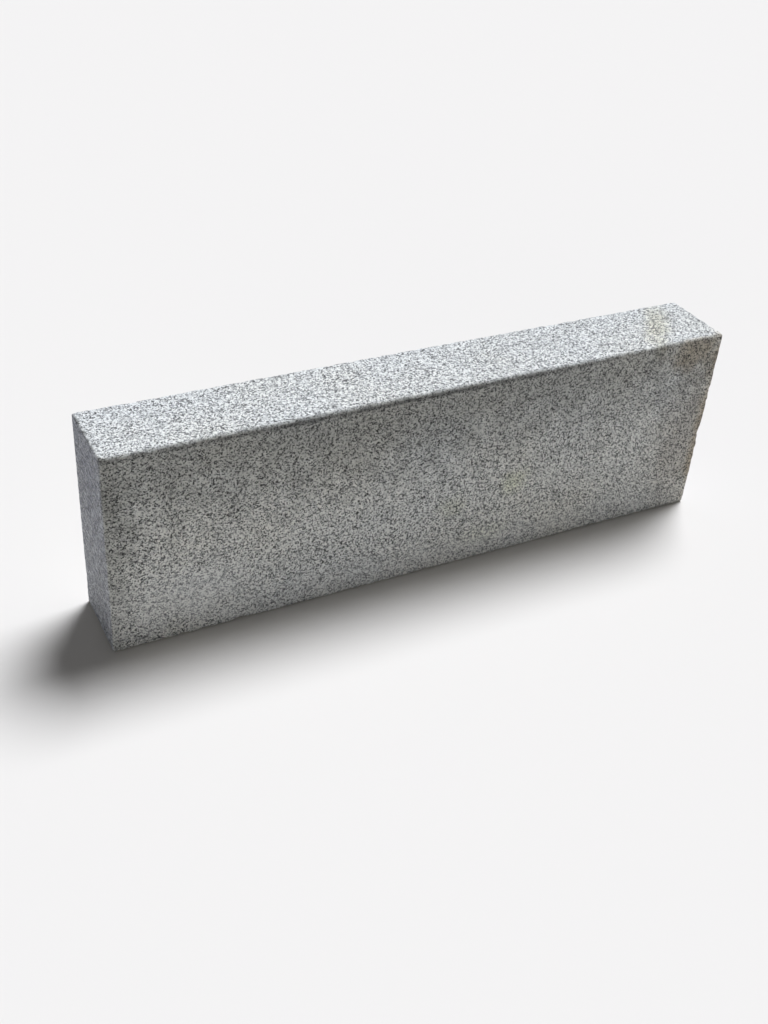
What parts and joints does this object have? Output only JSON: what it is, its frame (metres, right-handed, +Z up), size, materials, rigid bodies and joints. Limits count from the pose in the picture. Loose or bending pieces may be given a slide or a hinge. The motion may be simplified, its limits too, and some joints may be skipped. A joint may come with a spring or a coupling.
{
  "type": "granite kerb stone",
  "caption": "Straight rectangular granite kerb stone with rough dressed faces, sawn ends and rounded arrises, laid end to end to edge a road or path.",
  "frame": {"origin": "middle of the footprint, on the bed face that the stone stands on", "axes": "+X along the kerb, +Y through its thickness from the face side to the back, +Z up from the bed to the top"},
  "size_m": [1, 0.125, 0.32],
  "materials": {
    "granite": "light grey fine-grained granite, dressed rough on the long faces and sawn on the ends"
  },
  "bodies": {
    "root": {"kerb_stone": "granite"}
  },
  "joints": []
}
